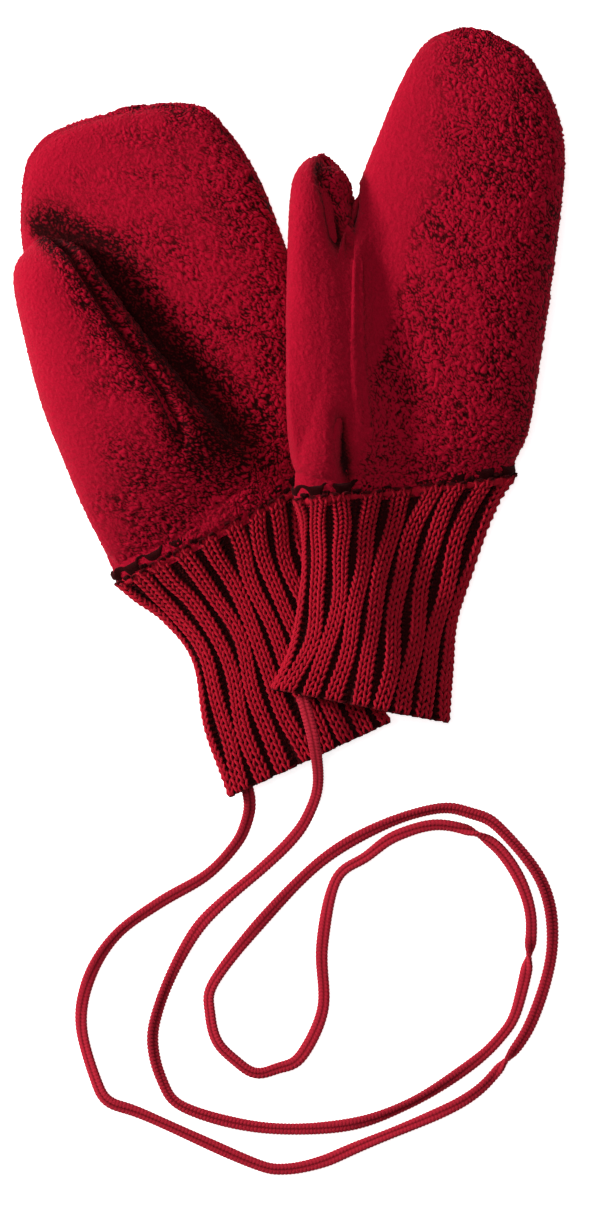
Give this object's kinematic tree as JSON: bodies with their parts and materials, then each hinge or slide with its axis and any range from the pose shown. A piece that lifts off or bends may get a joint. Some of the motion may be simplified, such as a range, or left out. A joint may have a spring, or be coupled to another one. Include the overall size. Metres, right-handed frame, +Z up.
{
  "type": "mittens",
  "caption": "Child's wool-fleece mittens with rib-knit cuffs, lying flat and joined cuff to cuff by a flat knitted cord.",
  "frame": {"origin": "on the surface that the pair lies on, under the middle of the two mittens' box, the cord left out", "axes": "+X to the right across the mittens, +Y towards the fingertips, +Z up from the surface"},
  "size_m": [0.1704, 0.3555, 0.0366],
  "materials": {
    "wool_fleece": "curly brushed wool",
    "seam": "sewn seam sunk in curly wool",
    "rib_knit": "two by two rib knit",
    "cord_knit": "flat tubular knit",
    "tack_yarn": "hand-sewn yarn"
  },
  "bodies": {
    "left_mitten": {"left_back_panel": "wool_fleece", "left_palm_panel": "wool_fleece", "left_side_seam": "seam", "left_cuff_seam": "seam", "left_rib_cuff": "rib_knit", "left_cord_tack": "tack_yarn", "cord": "cord_knit"},
    "left_thumb": {"left_thumb_back": "wool_fleece", "left_thumb_palm": "wool_fleece", "left_thumb_seam": "seam"},
    "right_mitten": {"right_back_panel": "wool_fleece", "right_palm_panel": "wool_fleece", "right_side_seam": "seam", "right_cuff_seam": "seam", "right_rib_cuff": "rib_knit", "right_cord_tack": "tack_yarn"},
    "right_thumb": {"right_thumb_back": "wool_fleece", "right_thumb_palm": "wool_fleece", "right_thumb_seam": "seam"}
  },
  "joints": [
    {"name": "left_thumb_fold", "type": "hinge", "parent": "left_mitten", "child": "left_thumb", "pos_m": [-0.07097, -0.01627, 0.011], "axis": [0.2557, -0.9668, 0], "range_deg": [0, 60]},
    {"name": "right_swing", "type": "hinge", "parent": "left_mitten", "child": "right_mitten", "pos_m": [0.002, -0.083, 0], "axis": [0, 0, 1], "range_deg": [-25, 0]},
    {"name": "right_thumb_fold", "type": "hinge", "parent": "right_mitten", "child": "right_thumb", "pos_m": [0.01867, 0.00887, 0.036], "axis": [0.1478, 0.989, 0], "range_deg": [0, 35]}
  ]
}
